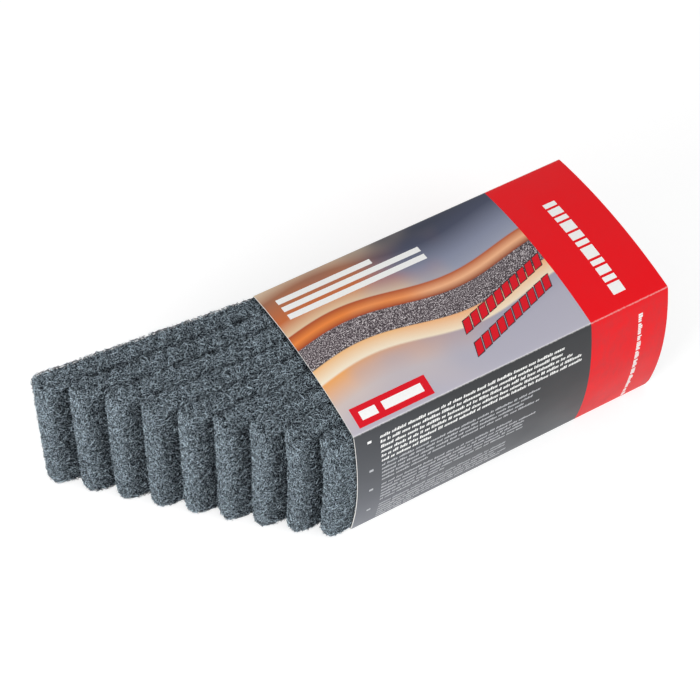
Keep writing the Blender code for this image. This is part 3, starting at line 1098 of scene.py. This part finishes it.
def tick_row(rng, start, end, low, high, wider=1.0):
    """A row of fine ticks in runs between two places, in mm, about every third one taller."""
    found = []
    place = start
    while place < end:
        for _ in range(rng.integers(2, 11)):
            width = rng.uniform(0.35, 0.65) * wider
            top = high if rng.random() < 0.35 else low + (high - low) * 0.72
            found.append((place, place + width, low, top))
            place += width + TICK_GAP
        place += RUN_GAP
    return found


def side_ticks(rng, blocks, pitch, tall):
    """Rows of fine ticks in blocks on the front panel, each block with a short mark before it, in mm.

    A block is given as its top, its number of rows and how far they reach. The pitch is from row to row.
    """
    found = []
    for top, rows, reach in blocks:
        found.append(("front", upright_bar(4.8, 6.4, top - 1.5, top - 0.4)))
        for row in range(rows):
            low = top - row * pitch - tall
            end = reach * (rng.uniform(0.86, 1.0) if row < rows - 1 else rng.uniform(0.25, 0.6))
            for x0, x1, z0, z1 in tick_row(rng, 9.8, end, low, low + tall):
                corners = [(x0, z0), (x1, z0), (x1 + TICK_LEAN, z1), (x0 + TICK_LEAN, z1)]
                found.append(("front", [(x * MM, z * MM) for x, z in corners]))
    return found


def band_marks(rng):
    """White dashes of mixed widths across the red band, and a thin row of ticks up its front side."""
    found = []
    place = 6.0
    for width in BAND_DASHES:
        found.append(("top", upright_bar(112.2, 117.4, place, place + width)))
        place += width + 1.1
    for z0, z1, x0, x1 in tick_row(rng, 1.5, 53.0, 119.0, 120.8, 1.5):
        found.append(("front", upright_bar(x0, x1, z0, z1)))
    return found


class HANDPADS_OT_sleeve_print(bpy.types.Operator):
    """Print the stripes, bars, dashes and ticks on the sleeve"""

    bl_idname = "handpads.sleeve_print"
    bl_label = "Sleeve print"

    def execute(self, context):
        settings = context.scene.hand_pad_print
        rng = np.random.default_rng(settings.seed)
        white = printing_ink("white offset ink", settings.white)
        red = printing_ink("red offset ink", settings.red)
        dark = printing_ink("dark offset ink", settings.dark)
        pale = printing_ink("pale offset ink", settings.pale)
        height = settings.ink_height
        print_piece("headline_stripes", white, headline_stripes(), height)
        print_piece("tag", red, [("top", upright_bar(3.5, 33.8, 1.8, 9.6))], height)
        bars = [("top", upright_bar(start, end, 4.0, 7.4)) for start, end in ((6, 12.5), (15, 31))]
        print_piece("tag_bars", white, bars, height * 2)
        rims = [bar for row in SLANTED_ROWS for bar in slanted_row(*row, 0.35)]
        reds = [bar for row in SLANTED_ROWS for bar in slanted_row(*row, 0.0)]
        print_piece("slanted_rims", dark, rims, height)
        print_piece("slanted_dashes", red, reds, height * 2)
        print_piece("band_marks", white, band_marks(rng), height)
        print_piece("first_side_ticks", white, side_ticks(rng, WHITE_BLOCKS, 2.45, 1.35), height)
        print_piece("side_ticks", pale, side_ticks(rng, PALE_BLOCKS, 2.15, 1.05), height)
        return {"FINISHED"}


# The stage


def seen_directly(tree):
    """1 for light that the camera sees straight, in a reflection or through glass, and 0 for light on the pack."""
    path = add_node(tree, "ShaderNodeLightPath").outputs
    seen = path["Is Camera Ray"]
    for kind in ("Is Glossy Ray", "Is Transmission Ray"):
        seen = add_node(tree, "ShaderNodeMath", {0: seen, 1: path[kind]}, operation="MAXIMUM").outputs[0]
    return seen


def stage_floor(settings):
    """Matt white studio board. What the camera sees of it is lifted a little, so that only its shadow is grey."""
    material, tree, _ = new_material("matt studio board")
    lift = add_node(
        tree, "ShaderNodeMapRange", {"Value": seen_directly(tree), "To Min": 0.3, "To Max": 0.62}
    ).outputs[0]
    board = add_node(
        tree,
        "ShaderNodeBsdfPrincipled",
        {
            "Base Color": (*settings.floor, 1),
            "Roughness": 0.9,
            "Specular IOR Level": 0.1,
            "Emission Color": (1, 1, 1, 1),
            "Emission Strength": lift,
        },
    )
    finish_material(tree, board)
    corners = [(-2, -2, 0), (2, -2, 0), (2, 2, 0), (-2, 2, 0)]
    floor = mesh_object("studio_floor", corners, [(0, 1, 2, 3)], [material], smooth=False)
    floor.location.z = CAD_BOX[0][2] - 0.05 * MM


def stage_sky(settings):
    """Even light from all around, seen as white."""
    world = bpy.data.worlds.new("studio")
    world.use_nodes = True
    tree = world.node_tree
    tree.nodes.clear()
    strength = add_node(
        tree, "ShaderNodeMapRange", {"Value": seen_directly(tree), "To Min": settings.sky_strength, "To Max": 1.0}
    ).outputs[0]
    sky = add_node(tree, "ShaderNodeBackground", {"Color": (1, 1, 1, 1), "Strength": strength})
    add_node(tree, "ShaderNodeOutputWorld", {"Surface": sky.outputs[0]})
    bpy.context.scene.world = world


# The lamps' places and sizes. Both face the pack.
KEY_PLACE, KEY_SIZE = (-0.70, -0.22, 0.27), 0.4
FILL_PLACE, FILL_SIZE = (0.3, -0.75, 0.75), 0.6
LAMP_TARGET = (0, 0, 0.03)


def add_lamp(name, place, size, power):
    """A square soft box that faces the pack."""
    data = bpy.data.lights.new(name, "AREA")
    data.size = size
    data.energy = power
    lamp = bpy.data.objects.new(name, data)
    lamp.location = place
    lamp.rotation_euler = (Vector(LAMP_TARGET) - Vector(place)).to_track_quat("-Z", "Y").to_euler()
    bpy.context.scene.collection.objects.link(lamp)


def add_camera():
    """The camera at the photograph's viewpoint."""
    data = bpy.data.cameras.new("camera")
    data.lens = CAMERA_LENS_MM
    data.sensor_width = 36
    data.clip_start = 0.01
    camera = bpy.data.objects.new("camera", data)
    turned = Matrix((CAMERA_RIGHT, CAMERA_UP, [-part for part in CAMERA_AHEAD])).transposed()
    camera.matrix_world = Matrix.Translation(CAMERA_PLACE) @ turned.to_4x4()
    bpy.context.scene.collection.objects.link(camera)
    bpy.context.scene.camera = camera


class HANDPADS_OT_stage(bpy.types.Operator):
    """Set the floor, the light and the camera"""

    bl_idname = "handpads.stage"
    bl_label = "Stage"

    def execute(self, context):
        settings = context.scene.hand_pad_stage
        add_camera()
        stage_floor(settings)
        stage_sky(settings)
        add_lamp("key_soft_box", KEY_PLACE, KEY_SIZE, settings.key_power)
        add_lamp("fill_soft_box", FILL_PLACE, FILL_SIZE, settings.fill_power)
        context.scene.view_settings.view_transform = "Standard"
        return {"FINISHED"}


class HANDPADS_PT_panel(bpy.types.Panel):
    """Lists the steps and their settings in the sidebar"""

    bl_idname = "HANDPADS_PT_panel"
    bl_label = "Hand pads"
    bl_space_type = "VIEW_3D"
    bl_region_type = "UI"
    bl_category = "Hand pads"

    def draw(self, context):
        for step, group in STEPS:
            box = self.layout.box()
            box.operator(step.bl_idname)
            settings = getattr(context.scene, group)
            for name in type(settings).__annotations__:
                box.prop(settings, name)


STEPS = (
    (HANDPADS_OT_stage, "hand_pad_stage"),
    (HANDPADS_OT_card_sleeve, "hand_pad_sleeve"),
    (HANDPADS_OT_sleeve_print, "hand_pad_print"),
    (HANDPADS_OT_fleece_pads, "hand_pad_fleece"),
)
SETTINGS = (
    (FleeceSettings, "hand_pad_fleece"),
    (SleeveSettings, "hand_pad_sleeve"),
    (PrintSettings, "hand_pad_print"),
    (StageSettings, "hand_pad_stage"),
)


def register():
    for group, name in SETTINGS:
        bpy.utils.register_class(group)
        setattr(bpy.types.Scene, name, PointerProperty(type=group))
    for step, _ in STEPS:
        bpy.utils.register_class(step)
    bpy.utils.register_class(HANDPADS_PT_panel)


def unregister():
    bpy.utils.unregister_class(HANDPADS_PT_panel)
    for step, _ in STEPS:
        bpy.utils.unregister_class(step)
    for group, name in SETTINGS:
        delattr(bpy.types.Scene, name)
        bpy.utils.unregister_class(group)


def main():
    register()
    bpy.ops.handpads.stage()
    bpy.ops.handpads.card_sleeve()
    bpy.ops.handpads.sleeve_print()
    bpy.ops.handpads.fleece_pads()


if __name__ == "__main__":
    main()
